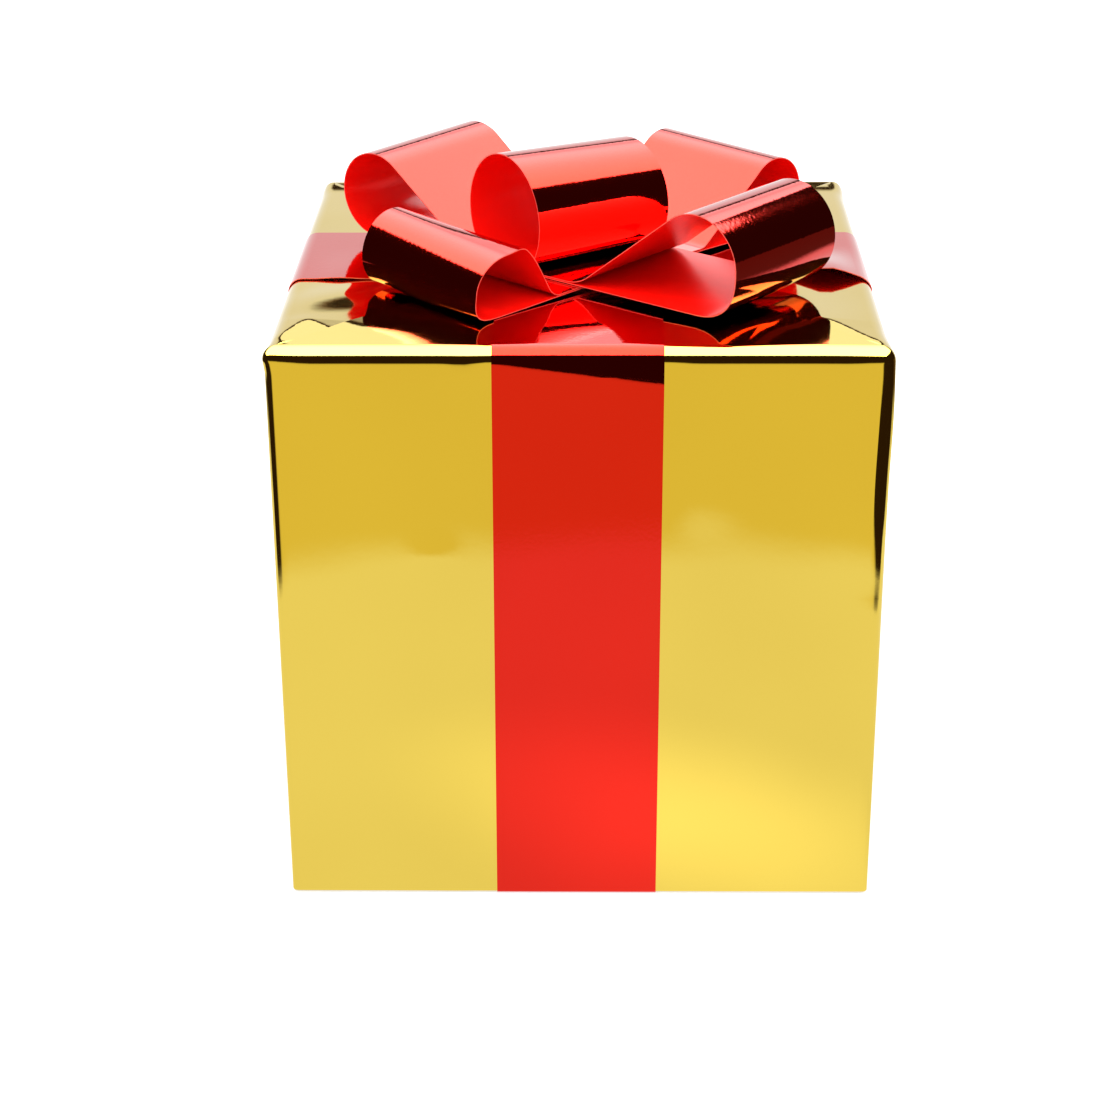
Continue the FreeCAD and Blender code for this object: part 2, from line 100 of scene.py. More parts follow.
grain = add(tree, "ShaderNodeBump", {"Height": fibres.outputs["Fac"], "Distance": 0.05 * MM,
                                     "Normal": ridges.outputs["Normal"]})
board = add(tree, "ShaderNodeBsdfPrincipled", {"Base Color": tone.outputs[2], "Roughness": 0.85,
                                               "Normal": grain.outputs["Normal"]})
add(tree, "ShaderNodeOutputMaterial", {"Surface": board.outputs[0]})
dress("carton_", kraft_board)

# Brown packing tape: a glossy film with long drawn streaks.
STREAK_WIDTH = 1.5 * MM
packing_tape, tree, coords = new_finish("brown_packing_tape")
drawn = add(tree, "ShaderNodeMapping", {"Vector": coords, "Scale": (0.05, 1.0, 1.0)})
streaks = add(tree, "ShaderNodeTexNoise", {"Vector": drawn.outputs[0], "Scale": 1 / STREAK_WIDTH,
                                           "Detail": 3.0})
tone = add(tree, "ShaderNodeMix", {"Factor": streaks.outputs["Fac"],
                                   6: linear("9A6B35"), 7: linear("B98545")}, data_type="RGBA")
gloss = add(tree, "ShaderNodeMapRange", {"Value": streaks.outputs["Fac"], "To Min": 0.16, "To Max": 0.34})
tape = add(tree, "ShaderNodeBsdfPrincipled", {"Base Color": tone.outputs[2], "Roughness": gloss.outputs[0],
                                              "Coat Weight": 0.6})
add(tree, "ShaderNodeOutputMaterial", {"Surface": tape.outputs[0]})
dress("carton_tape", packing_tape)

# Gold wrap
# One sheet of mirror-gold metallised film, drawn round the four sides and lapped at the back. At
# each end the side flaps are folded in first, then the front and back flaps lie over them.

WRAP_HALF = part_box("wrap_sleeve")[1].x
WRAP_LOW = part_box("wrap_bottom_fold_front")[0].z
WRAP_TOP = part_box("wrap_top_fold_front")[1].z
FOLD_RADIUS = 4.35 * MM
FOOT_RADIUS = 0.6 * MM
WRAP_FLAT = WRAP_HALF - FOLD_RADIUS
WRAP_FILM = 0.25 * MM
WRAP_CUTS = 3.0 * MM
END_CUT = 0.3 * MM
SLACK_WAVE = 55.0 * MM


def metal_film(name, light, dark, coat, sag_depth, ripple_size, ripple_depth, gloss):
    """A metallised film: a mirror in two near shades under a clear coat of the given index, with long
    slack waves and a fine ripple. gloss is the range of its roughness."""
    finish, tree, coords = new_finish(name)
    waves = add(tree, "ShaderNodeTexNoise", {"Vector": coords, "Scale": 1 / SLACK_WAVE, "Detail": 1.0})
    fine = add(tree, "ShaderNodeTexNoise", {"Vector": coords, "Scale": 1 / ripple_size, "Detail": 2.0})
    tone = add(tree, "ShaderNodeMix", {"Factor": waves.outputs["Fac"],
                                       6: linear(dark), 7: linear(light)}, data_type="RGBA")
    rough = add(tree, "ShaderNodeMapRange", {"Value": fine.outputs["Fac"], "To Min": gloss[0],
                                             "To Max": gloss[1]})
    sag = add(tree, "ShaderNodeBump", {"Height": waves.outputs["Fac"], "Distance": sag_depth})
    ripple = add(tree, "ShaderNodeBump", {"Height": fine.outputs["Fac"], "Distance": ripple_depth,
                                          "Normal": sag.outputs["Normal"]})
    shine = add(tree, "ShaderNodeBsdfPrincipled", {
        "Base Color": tone.outputs[2], "Metallic": 1.0, "Roughness": rough.outputs[0],
        "Coat Weight": 1.0, "Coat IOR": coat, "Coat Roughness": 0.03,
        "Normal": ripple.outputs["Normal"], "Coat Normal": ripple.outputs["Normal"]})
    add(tree, "ShaderNodeOutputMaterial", {"Surface": shine.outputs[0]})
    return finish


def whole(faces):
    """Faces with their verts and edges, as the operator that cuts them takes them."""
    return list({v for f in faces for v in f.verts}) + list({e for f in faces for e in f.edges}) + faces


def slice_mesh(bm, axis, places, faces=None):
    """Cuts a mesh, or only some of its faces, square to one axis at each of the places."""
    normal = Vector((0, 0, 0))
    normal[axis] = 1.0
    geom = whole(faces or bm.faces[:])
    for place in places:
        geom = bmesh.ops.bisect_plane(bm, geom=geom, plane_co=normal * place, plane_no=normal,
                                      dist=1e-7)["geom"]


def even_places(low, high, step):
    """Even places between two ends, and one close to each end, where a flat runs into a bend."""
    count = math.ceil((high - low) / step)
    return [low + END_CUT, high - END_CUT] + [low + (high - low) * i / count for i in range(1, count)]


def ramp(value, start, end):
    """A smooth rise from 0 at start to 1 at end."""
    part = min(max((value - start) / (end - start), 0.0), 1.0)
    return part * part * (3 - 2 * part)


def hump(distance, reach):
    """A smooth rise from 0 at the reach to 1 at no distance."""
    return ramp(-abs(distance), -reach, 0.0)


def lesser(first, second, blend):
    """The lesser of two heights, rounded over where they meet."""
    part = min(max(0.5 + 0.5 * (second - first) / blend, 0.0), 1.0)
    return second + (first - second) * part - blend * part * (1 - part)


def make_piece(name, bm, finishes, body, stands_for):
    """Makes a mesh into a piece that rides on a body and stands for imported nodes."""
    for face in bm.faces:
        face.smooth = True
    for edge in bm.edges:
        edge.smooth = not edge.is_boundary
    mesh = bpy.data.meshes.new(name)
    bm.to_mesh(mesh)
    bm.free()
    for finish in finishes:
        mesh.materials.append(finish)
    made = bpy.data.objects.new(name, mesh)
    bpy.context.scene.collection.objects.link(made)
    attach(made, body)
    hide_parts(*stands_for)
    return made


def thicken(made, depth):
    """Gives a film its thickness behind the face that shows. Its back and its cut edge take the next
    two finishes."""
    wall = made.modifiers.new("film", "SOLIDIFY")
    wall.thickness = depth
    wall.offset = -1.0
    wall.use_rim = True
    wall.material_offset = 1
    wall.material_offset_rim = 2


# A cube with rounded edges. The top and bottom edges are rounded a little less than the upright ones,
# so that no face shrinks to nothing where they meet. The top's front corners are cut finer.
RIM_SHARE = 0.99
CORNER_FROM = 60.25 * MM
CORNER_CUTS = 0.75 * MM
CORNER_COUNT = 35
wrap = bmesh.new()
bmesh.ops.create_cube(wrap, size=1.0)
bmesh.ops.scale(wrap, vec=(2 * WRAP_HALF, 2 * WRAP_HALF, WRAP_TOP - WRAP_LOW), verts=wrap.verts)
bmesh.ops.translate(wrap, vec=(0, 0, (WRAP_TOP + WRAP_LOW) / 2), verts=wrap.verts)
upright = [e for e in wrap.edges if abs(e.verts[0].co.z - e.verts[1].co.z) > FOLD_RADIUS]
bmesh.ops.bevel(wrap, geom=upright, offset=FOLD_RADIUS, offset_type="OFFSET", segments=8, profile=0.5,
                affect="EDGES", material=-1)
for level, radius, segments in ((WRAP_TOP, FOLD_RADIUS, 8), (WRAP_LOW, FOOT_RADIUS, 4)):
    rim = [e for e in wrap.edges if all(abs(v.co.z - level) < 1e-6 for v in e.verts)]
    bmesh.ops.bevel(wrap, geom=rim, offset=radius * RIM_SHARE, offset_type="OFFSET", segments=segments,
                    profile=0.5, affect="EDGES", material=-1)
for axis in (0, 1):
    slice_mesh(wrap, axis, even_places(-WRAP_FLAT, WRAP_FLAT, WRAP_CUTS))
slice_mesh(wrap, 2, even_places(WRAP_LOW + FOOT_RADIUS, WRAP_TOP - FOLD_RADIUS, WRAP_CUTS))
slice_mesh(wrap, 2, [WRAP_TOP - FOLD_RADIUS - depth * MM for depth in (0.8, 1.6, 2.4, 3.6, 4.8)])
for axis in (0, 1):
    corner = [f for f in wrap.faces if all(v.co.z > WRAP_TOP - 1 * MM for v in f.verts)
              and f.calc_center_median().y < -30 * MM and abs(f.calc_center_median().x) > 60 * MM]
    out_from = [CORNER_FROM + CORNER_CUTS * i for i in range(CORNER_COUNT)]
    sides = (-1, 1) if axis == 0 else (-1,)
    slice_mesh(wrap, axis, [side * place for side in sides for place in out_from], corner)

# The flaps part along the diagonals of each end. The front and back ones lie on top, and the side
# ones run on beneath them. On top the film stands off the board: it climbs from the front fold
# towards the bow, and each side flap follows it as far as a crease behind the corner.
FLAP_LIFT = 0.3 * MM
FLAP_LIFT_BELOW = 0.1 * MM
TUCK = 5.0 * MM
TUCK_DEPTH = 0.02 * MM
CLIMB = 0.062
CLIMB_MIDDLE = 0.85 * MM
CLIMB_CORNER = 1.32 * MM
CORNER_SPAN = (62 * MM, 76 * MM)
LEFT_CREASE = (62 * MM, 84 * MM)
LEFT_EDGE = (-93 * MM, -79 * MM)
RIGHT_CREASE = (60 * MM, 72 * MM)
RIGHT_EDGE = (-92 * MM, -70 * MM)
UNDER_BOW = 26 * MM
BY_RIBBON = 27 * MM


def front_climb(x, y):
    """Height of the front flap over the board's top, from the front fold back to the bow."""
    most = CLIMB_MIDDLE + (CLIMB_CORNER - CLIMB_MIDDLE) * ramp(abs(x), *CORNER_SPAN)
    return lesser(CLIMB * max(y + WRAP_FLAT, 0.0), most, 0.2 * MM) * ramp(-y, UNDER_BOW, 42 * MM)


def side_climb(x, y):
    """Height of a side flap over the board's top, up to a crease behind the front corner."""
    if x < 0:
        crest = CLIMB_CORNER * (0.2 + 0.8 * ramp(-x, *LEFT_CREASE)) * ramp(x, *LEFT_EDGE)
    else:
        crest = CLIMB_CORNER * ramp(x, *RIGHT_CREASE) * ramp(-x, *RIGHT_EDGE)
    crest *= min(max((-y - UNDER_BOW) / (40 * MM), 0.0), 1.0)
    return max(lesser(CLIMB * max(y + WRAP_FLAT, 0.0), crest, 0.06 * MM), 0.0)


for level, outward in ((WRAP_TOP, 1), (WRAP_LOW, -1)):
    for diagonal in ((1, 1, 0), (1, -1, 0)):
        flat = [f for f in wrap.faces if all(abs(v.co.z - level) < 1e-6 for v in f.verts)]
        bmesh.ops.bisect_plane(wrap, geom=whole(flat), plane_co=(0, 0, 0), plane_no=diagonal, dist=1e-7)
    seams = [e for e in wrap.edges if all(abs(v.co.z - level) < 1e-6 for v in e.verts)
             and all(abs(abs(v.co.x) - abs(v.co.y)) < 1e-6 for v in e.verts)]
    bmesh.ops.split_edges(wrap, edges=seams)
    flat = [f for f in wrap.faces if all(abs(v.co.z - level) < 1e-6 for v in f.verts)]
    on_top = [f for f in flat if abs(f.calc_center_median().y) > abs(f.calc_center_median().x)]
    over = {v for f in on_top for v in f.verts}
    aside = {v for f in flat for v in f.verts} - over
    under = [e for e in wrap.edges if e.is_boundary and all(v in aside for v in e.verts)]
    drawn_on = bmesh.ops.extrude_edge_only(wrap, edges=under)["geom"]
    tucked = [g for g in drawn_on if isinstance(g, bmesh.types.BMVert)]
    for v in tucked:
        inset = TUCK * ramp(WRAP_FLAT - abs(v.co.y), 2 * MM, 20 * MM)
        v.co.x -= math.copysign(inset, v.co.x)
        v.co.y += math.copysign(inset, v.co.y)
        v.co.z -= outward * TUCK_DEPTH
    for v in list(over) + list(aside) + tucked:
        x, y = v.co.x, v.co.y
        if v in over:
            clear = ramp(abs(y), UNDER_BOW, 40 * MM) * ramp(abs(x), BY_RIBBON, 36 * MM)
            lift = FLAP_LIFT * ramp(WRAP_FLAT - abs(y), 0.0, 40 * MM) * clear
            v.co.z += lift + front_climb(x, y) if outward > 0 else -FLAP_LIFT_BELOW * clear
        elif outward > 0:
            v.co.z += side_climb(x, y)

# The upright folds are sharp at the foot and, on the left, all the way up. They stand a little off
# the carton towards the top. There the film runs on a slant round the front right fold, and bulges.
# An ear of film sticks out at the top front left, the back fold of the top is turned up, and the
# left flap has a soft bump.
FOOT_SHARP = 0.35
LEFT_ROUND = 0.2
RIGHT_ROUND = 0.5
ROUND_RISE = (20 * MM, 150 * MM)
SLANT_RISE = (110 * MM, 146 * MM)
SLANT_EASE = (152 * MM, 174 * MM)
SLANT_EASED = 0.6
SLANT_TURN = math.radians(60)
SLANT_FALL = 0.575
LEFT_SLACK = 0.35 * MM
RIGHT_SLACK = 0.8 * MM
SLACK_SPAN = (70 * MM, 91 * MM)
SLACK_RISE = (-20 * MM, 170 * MM)
RIGHT_BULGE = 0.5 * MM
RIGHT_BULGE_LEVEL = 165 * MM
RIGHT_BULGE_REACH = 30 * MM
EAR = Vector((-0.9, -0.3, 0.3)) * MM
EAR_PLACE = Vector((-90.0, -90.0, 181.0)) * MM
EAR_REACH = 9 * MM
BACK_LIP = 0.6 * MM
FLAP_BUMP = 0.6 * MM
FLAP_BUMP_PLACE = Vector((-73.0, -42.0, 181.9)) * MM
FLAP_BUMP_ALONG = Vector((0.75, 0.66, 0.0))
FLAP_BUMP_LONGER = 0.45
FLAP_BUMP_REACH = 15 * MM
for v in wrap.verts:
    over_x = abs(v.co.x) - WRAP_FLAT
    over_y = abs(v.co.y) - WRAP_FLAT
    front_right = v.co.x > 0 > v.co.y
    if over_x > 0 and over_y > 0:
        reach = math.hypot(over_x, over_y)
        sharp = FOOT_SHARP + (LEFT_ROUND if v.co.x < 0 else RIGHT_ROUND) * ramp(v.co.z, *ROUND_RISE)
        to_side = (over_x / reach) ** sharp
        to_front = (over_y / reach) ** sharp
        if front_right:
            slanted = ramp(v.co.z, *SLANT_RISE) * (1 - SLANT_EASED * ramp(v.co.z, *SLANT_EASE))
            turned = math.atan2(over_x, over_y) / SLANT_TURN
            on_slant = 1.0 - SLANT_FALL * turned
            on_side = (1.0 - SLANT_FALL) * (1.5 - turned) / 0.5
            to_side += slanted * (min(turned, 1.0) - to_side)
            to_front += slanted * (min(on_slant, on_side) - to_front)
        v.co.x = math.copysign(WRAP_FLAT + reach * to_side, v.co.x)
        v.co.y = math.copysign(WRAP_FLAT + reach * to_front, v.co.y)
    near_top = ramp(v.co.z, WRAP_TOP - FOLD_RADIUS, WRAP_TOP)
    # The rounded side edges of the top follow the side flaps, which are raised already.
    if over_x > 0.1 * MM and over_y < 0:
        v.co.z += side_climb(v.co.x, v.co.y) * near_top
    slack = (LEFT_SLACK if v.co.x < 0 else RIGHT_SLACK) * ramp(v.co.z, *SLACK_RISE)
    if front_right:
        slack += RIGHT_BULGE * hump(v.co.z - RIGHT_BULGE_LEVEL, RIGHT_BULGE_REACH)
    slack *= ramp(abs(v.co.x), *SLACK_SPAN) * ramp(abs(v.co.y), *SLACK_SPAN)
    lip = BACK_LIP * ramp(v.co.y, 76 * MM, 88 * MM) * ramp(abs(v.co.x), 40 * MM, 62 * MM)
    off_bump = v.co - FLAP_BUMP_PLACE
    off_bump -= FLAP_BUMP_LONGER * off_bump.dot(FLAP_BUMP_ALONG) * FLAP_BUMP_ALONG
    lip += FLAP_BUMP * hump(off_bump.length, FLAP_BUMP_REACH)
    v.co += EAR * hump((v.co - EAR_PLACE).length, EAR_REACH)
    v.co.x += math.copysign(slack, v.co.x)
    v.co.y += math.copysign(0.5 * slack, v.co.y)
    v.co.z += lip * near_top

# The front leans out a little below its top fold, and has soft bumps, each given by its place across
# and up, its reach and its height. The film stays flat under the ribbon.
FILM_LEAN = 0.2
FILM_LEAN_LENGTH = 0.5 * MM
FRONT_BUMPS = (
    ((-32.0, 172.0), 8.0, 0.35),
    ((-31.0, 163.0), 6.0, 0.15),
    ((-43.0, 116.0), 9.0, 0.25),
    ((-40.0, 8.0), 11.0, 0.25),
    ((86.0, 95.0), 12.0, 0.30),
    ((36.0, 140.0), 20.0, 0.20),
)
for v in wrap.verts:
    x, y, z = v.co
    if y < -WRAP_HALF + 0.5 * MM:
        below = WRAP_TOP - FOLD_RADIUS - z
        beside_ribbon = ramp(abs(x), BY_RIBBON, 33 * MM)
        out = FILM_LEAN * max(lesser(below + 0.5 * MM, FILM_LEAN_LENGTH, 1.0 * MM), 0.0)
        out *= ramp(-below, -60 * MM, -5 * MM) * ramp(-abs(x), -WRAP_FLAT, -WRAP_FLAT + 8 * MM)
        for (bump_x, bump_z), reach, height in FRONT_BUMPS:
            away = math.hypot(x - bump_x * MM, z - bump_z * MM)
            out += height * MM * hump(away, reach * MM)
        v.co.y -= out * beside_ribbon

# The lap: the free end of the sheet, which lies over the other end on the back.
LAP_FROM = 40.0 * MM
LAP_WIDTH = 20.0 * MM
lap = bmesh.ops.create_grid(wrap, x_segments=10, y_segments=40, size=0.5)["verts"]
bmesh.ops.scale(wrap, vec=(LAP_WIDTH, WRAP_TOP - WRAP_LOW - 2 * FOLD_RADIUS, 1.0), verts=lap)
bmesh.ops.rotate(wrap, matrix=Matrix.Rotation(-math.pi / 2, 3, "X"), cent=(0, 0, 0), verts=lap)
bmesh.ops.translate(wrap, vec=(LAP_FROM + LAP_WIDTH / 2, WRAP_HALF, (WRAP_TOP + WRAP_LOW) / 2), verts=lap)
for v in lap:
    v.co.y += WRAP_FILM * (1.0 - 1.05 * ramp(v.co.x, LAP_FROM + 0.4 * LAP_WIDTH, LAP_FROM + LAP_WIDTH))

# Mirror-gold film, the same on its back and its cut edge.
gold_film = metal_film("mirror_gold_film", light="DDC152", dark="D6B94C", coat=1.12, sag_depth=0.45 * MM,
                       ripple_size=2.2 * MM, ripple_depth=0.004 * MM, gloss=(0.04, 0.07))
wrap_nodes = [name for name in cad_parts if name.startswith("wrap_") and "tape" not in name]
wrap_piece = make_piece("gold_wrap", wrap, [gold_film], "package", wrap_nodes)
thicken(wrap_piece, WRAP_FILM)

# Clear tape
# Short pieces of clear adhesive tape hold the lap at the back and the flaps at both ends. The packed
# solids stay, and get a finish with the fine grain of a stretched film.
TAPE_GRAIN = 0.8 * MM
clear_tape, tree, coords = new_finish("clear_adhesive_tape")
grain = add(tree, "ShaderNodeTexNoise", {"Vector": coords, "Scale": 1 / TAPE_GRAIN, "Detail": 3.0})
haze = add(tree, "ShaderNodeMapRange", {"Value": grain.outputs["Fac"], "To Min": 0.08, "To Max": 0.3})
skin = add(tree, "ShaderNodeBump", {"Height": grain.outputs["Fac"], "Distance": 0.01 * MM})
film = add(tree, "ShaderNodeBsdfPrincipled", {
    "Base Color": linear("F4EED8"), "Roughness": haze.outputs[0], "IOR": 1.47,
    "Normal": skin.outputs["Normal"]})
clear = add(tree, "ShaderNodeBsdfTransparent", {"Color": linear("FBF8EC")})
milky = add(tree, "ShaderNodeMapRange", {"Value": grain.outputs["Fac"], "To Min": 0.10, "To Max": 0.20})
tape = add(tree, "ShaderNodeMixShader", {0: milky.outputs[0], 1: clear.outputs[0], 2: film.outputs[0]})
add(tree, "ShaderNodeOutputMaterial", {"Surface": tape.outputs[0]})
for tape_node in ("wrap_top_tape", "wrap_bottom_tape", "wrap_seam_tape"):
    dress(tape_node, clear_tape)

# Ribbon
# Two closed bands of red metallised ribbon, one from front to back and one from left to right over
# it, drawn round the wrapped box. Each stands off the film a little where it turns an edge.

RIBBON_FILM = 0.25 * MM
RIBBON_TURN = 4.6 * MM
RIBBON_FOOT = 1.0 * MM
RIBBON_CUTS = 4.0 * MM

# Red metallised film: a deep red mirror, a satin back, and a pale cut edge.
red_film = metal_film("mirror_red_film", light="DA1E09", dark="CE1A06", coat=1.22, sag_depth=0.20 * MM,
                      ripple_size=1.1 * MM, ripple_depth=0.014 * MM, gloss=(0.04, 0.08))

BRUSHING_WIDTH = 4.0 * MM
satin_red, tree, coords = new_finish("satin_red_film_back")
drawn = add(tree, "ShaderNodeMapping", {"Vector": coords, "Scale": (1.0, 1.0, 0.2)})
brushing = add(tree, "ShaderNodeTexNoise", {"Vector": drawn.outputs[0], "Scale": 1 / BRUSHING_WIDTH,
                                            "Detail": 3.0})
tone = add(tree, "ShaderNodeMix", {"Factor": brushing.outputs["Fac"],
                                   6: linear("D40A04"), 7: linear("E00E06")}, data_type="RGBA")
sheen = add(tree, "ShaderNodeMapRange", {"Value": brushing.outputs["Fac"], "To Min": 0.20, "To Max": 0.28})
satin = add(tree, "ShaderNodeBsdfPrincipled", {"Base Color": tone.outputs[2], "Roughness": sheen.outputs[0],
                                               "IOR": 1.42})
add(tree, "ShaderNodeOutputMaterial", {"Surface": satin.outputs[0]})

NICK_SIZE = 1.5 * MM
pale_edge, tree, coords = new_finish("pale_cut_edge")
nicks = add(tree, "ShaderNodeTexNoise", {"Vector": coords, "Scale": 1 / NICK_SIZE, "Detail": 2.0})
tone = add(tree, "ShaderNodeMix", {"Factor": nicks.outputs["Fac"],
                                   6: linear("B8281E"), 7: linear("DC5548")}, data_type="RGBA")
rim = add(tree, "ShaderNodeBsdfPrincipled", {"Base Color": tone.outputs[2], "Roughness": 0.4})
add(tree, "ShaderNodeOutputMaterial", {"Surface": rim.outputs[0]})
RIBBON_FINISHES = [red_film, satin_red, pale_edge]


def ribbon_band(node, across):
    """A closed band in the place of a packed one. across is the axis of the ribbon's width."""
    low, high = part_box(node)
    band = bmesh.new()
    bmesh.ops.create_cube(band, size=1.0)
    bmesh.ops.scale(band, vec=high - low, verts=band.verts)
    bmesh.ops.translate(band, vec=(low + high) / 2, verts=band.verts)
    for level, radius in ((high.z, RIBBON_TURN), (low.z, RIBBON_FOOT)):
        turns = [e for e in band.edges if abs(e.verts[0].co[across] - e.verts[1].co[across]) > RIBBON_TURN
                 and all(abs(v.co.z - level) < 1e-6 for v in e.verts)]
        bmesh.ops.bevel(band, geom=turns, offset=radius, offset_type="OFFSET", segments=10, profile=0.5,
                        affect="EDGES", material=-1)
    ends = [f for f in band.faces if abs(f.normal[across]) > 0.9]
    bmesh.ops.delete(band, geom=ends, context="FACES_ONLY")
    along = 1 - across
    slice_mesh(band, along, even_places(low[along] + RIBBON_TURN, high[along] - RIBBON_TURN, RIBBON_CUTS))
    slice_mesh(band, 2, even_places(low.z + RIBBON_FOOT, high.z - RIBBON_TURN, RIBBON_CUTS))
    slice_mesh(band, across, even_places(low[across], high[across], RIBBON_CUTS))
    return band, low, high


# The front-to-back band follows the film up behind the front edge. Below that edge it first leans
# out, for longer at its right side, and then comes back to the film. It also slants a little.
RIBBON_SLANT = 0.9 * MM
LEAN = 0.23
LEAN_LEFT = 1.0 * MM
LEAN_RIGHT = 7.0 * MM
front_back, low, high = ribbon_band("ribbon_front_back", 0)
slice_mesh(front_back, 2, [high.z - RIBBON_TURN - depth * MM for depth in range(1, 9)])
for v in front_back.verts:
    below = high.z - RIBBON_TURN - v.co.z
    if v.co.z > high.z - 0.01 * MM:
        v.co.z += front_climb(v.co.x, v.co.y)
    elif v.co.y < 0:
        length = LEAN_LEFT + (LEAN_RIGHT - LEAN_LEFT) * (v.co.x - low.x) / (high.x - low.x)
        out = LEAN * max(lesser(below + 1 * MM, length, 0.6 * MM), 0.0)
        v.co.y -= out * min(1.0, (v.co.z - low.z) / (high.z - RIBBON_TURN - low.z))
    v.co.x += RIBBON_SLANT * (v.co.z - low.z) / (high.z - low.z)
band_piece = make_piece("ribbon_front_to_back", front_back, RIBBON_FINISHES, "package",
                        ["ribbon_front_back"])
thicken(band_piece, RIBBON_FILM)

# The left-to-right band arches off the film by its front edge at the right, and less at the left.
RIGHT_ARCH = 3.5 * MM
RIGHT_ARCH_PLACE = 77 * MM
RIGHT_ARCH_REACH = 14 * MM
LEFT_ARCH = 0.4 * MM
LEFT_ARCH_PLACE = -75 * MM
LEFT_ARCH_REACH = 9 * MM
left_right, low, high = ribbon_band("ribbon_left_right", 1)
for v in left_right.verts:
    by_edge = ramp(-v.co.y, -8 * MM, 25 * MM) * ramp(v.co.z, high.z - RIBBON_TURN, high.z)
    v.co.z += RIGHT_ARCH * hump(v.co.x - RIGHT_ARCH_PLACE, RIGHT_ARCH_REACH) * by_edge
    v.co.z += LEFT_ARCH * hump(v.co.x - LEFT_ARCH_PLACE, LEFT_ARCH_REACH) * by_edge
band_piece = make_piece("ribbon_left_to_right", left_right, RIBBON_FINISHES, "package",
                        ["ribbon_left_right"])
thicken(band_piece, RIBBON_FILM)

# Bow fastening
# A disc of grey backing card and a small brass rivet that holds the strips, stuck down by a foam
# pad. The card's and the rivet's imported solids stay; the pad is drawn with its soft rounded rim.

PAD_HOLE = 4.0 * MM
PAD_SOFT = 0.3 * MM
low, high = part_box("bow_pad")
pad_middle = (low + high) / 2
disc = bmesh.new()
rim = [disc.verts.new((r, 0, z)) for r, z in ((PAD_HOLE, low.z), ((high.x - low.x) / 2, low.z),
                                              ((high.x - low.x) / 2, high.z), (PAD_HOLE, high.z))]
outline = [disc.edges.new((rim[i - 1], rim[i])) for i in range(4)]
bmesh.ops.spin(disc, geom=rim + outline, cent=(0, 0, 0), axis=(0, 0, 1), angle=2 * math.pi, steps=48,
               use_merge=True)
bmesh.ops.remove_doubles(disc, verts=disc.verts, dist=1e-6)
bmesh.ops.recalc_face_normals(disc, faces=disc.faces)
corners = [e for e in disc.edges if e.calc_face_angle(0.0) > 1.0]
bmesh.ops.bevel(disc, geom=corners, offset=PAD_SOFT, offset_type="OFFSET", segments=3, profile=0.5,
                affect="EDGES", material=-1)
bmesh.ops.translate(disc, vec=(pad_middle.x, pad_middle.y, 0), verts=disc.verts)

# White closed-cell foam: matt, with fine pits, and painted shade that darkens each pit towards its bottom.
FOAM_CELL = 0.6 * MM
foam, tree, coords = new_finish("white_foam_pad")
cells = add(tree, "ShaderNodeTexVoronoi", {"Vector": coords, "Scale": 1 / FOAM_CELL})
pits = add(tree, "ShaderNodeBump", {"Height": cells.outputs["Distance"], "Distance": 0.15 * MM})
# Painted shade: the tone follows the pit depth, darkest at the bottom of each pit.
tone = add(tree, "ShaderNodeMix", {"Factor": cells.outputs["Distance"],
                                   6: linear("D8D6CF"), 7: linear("F4F3EE")}, data_type="RGBA")
pad = add(tree, "ShaderNodeBsdfPrincipled", {"Base Color": tone.outputs[2], "Roughness": 0.8,
                                             "Normal": pits.outputs["Normal"]})
add(tree, "ShaderNodeOutputMaterial", {"Surface": pad.outputs[0]})
pad_piece = make_piece("foam_pad", disc, [foam], "bow_base", ["bow_pad"])

# Grey card, with the flecks of its pulp.
PULP_FLECK = 1.2 * MM
card_finish, tree, coords = new_finish("grey_backing_card")
pulp = add(tree, "ShaderNodeTexNoise", {"Vector": coords, "Scale": 1 / PULP_FLECK, "Detail": 6.0})
tone = add(tree, "ShaderNodeMix", {"Factor": pulp.outputs["Fac"],
                                   6: linear("A79F94"), 7: linear("CFC8BC")}, data_type="RGBA")
nap = add(tree, "ShaderNodeBump", {"Height": pulp.outputs["Fac"], "Distance": 0.03 * MM})
card = add(tree, "ShaderNodeBsdfPrincipled", {"Base Color": tone.outputs[2], "Roughness": 0.9,
                                              "Normal": nap.outputs["Normal"]})
add(tree, "ShaderNodeOutputMaterial", {"Surface": card.outputs[0]})
dress("bow_card", card_finish)

# Brass, lightly scuffed.
SCUFF_SIZE = 0.5 * MM
brass, tree, coords = new_finish("rivet_brass")
scuffs = add(tree, "ShaderNodeTexNoise", {"Vector": coords, "Scale": 1 / SCUFF_SIZE, "Detail": 4.0})
wear = add(tree, "ShaderNodeMapRange", {"Value": scuffs.outputs["Fac"], "To Min": 0.18, "To Max": 0.42})
tone = add(tree, "ShaderNodeMix", {"Factor": scuffs.outputs["Fac"],
                                   6: linear("A8842F"), 7: linear("D9B65E")}, data_type="RGBA")
rivet = add(tree, "ShaderNodeBsdfPrincipled", {"Base Color": tone.outputs[2], "Metallic": 1.0,
                                               "Roughness": wear.outputs[0]})
add(tree, "ShaderNodeOutputMaterial", {"Surface": rivet.outputs[0]})
dress("bow_rivet", brass)

# Bow strips
# Two lengths of the same red ribbon, each closed into a long loop and pinched flat at its middle,
# crossed on the card and held by the rivet. Mirror side out, satin side in.

BOW_FILM = 0.3 * MM
PINCH_GAP = 0.2 * MM
BOW_CENTRE = Vector((-2.0 * MM, -7.0 * MM, 0.0))
BOW_WIDTH = 50.0 * MM
WIDTH_STEPS = 10
BEND_STEP = math.radians(5)
LOOP_FREE = (18 * MM, 60 * MM)


def draw_run(bm, tip, x, z):
    """Draws a straight run from the tip of a path, and returns its new tip."""
    fresh = bmesh.ops.extrude_vert_indiv(bm, verts=[tip])["verts"][0]
    fresh.co = (x, tip.co.y, z)
    return fresh


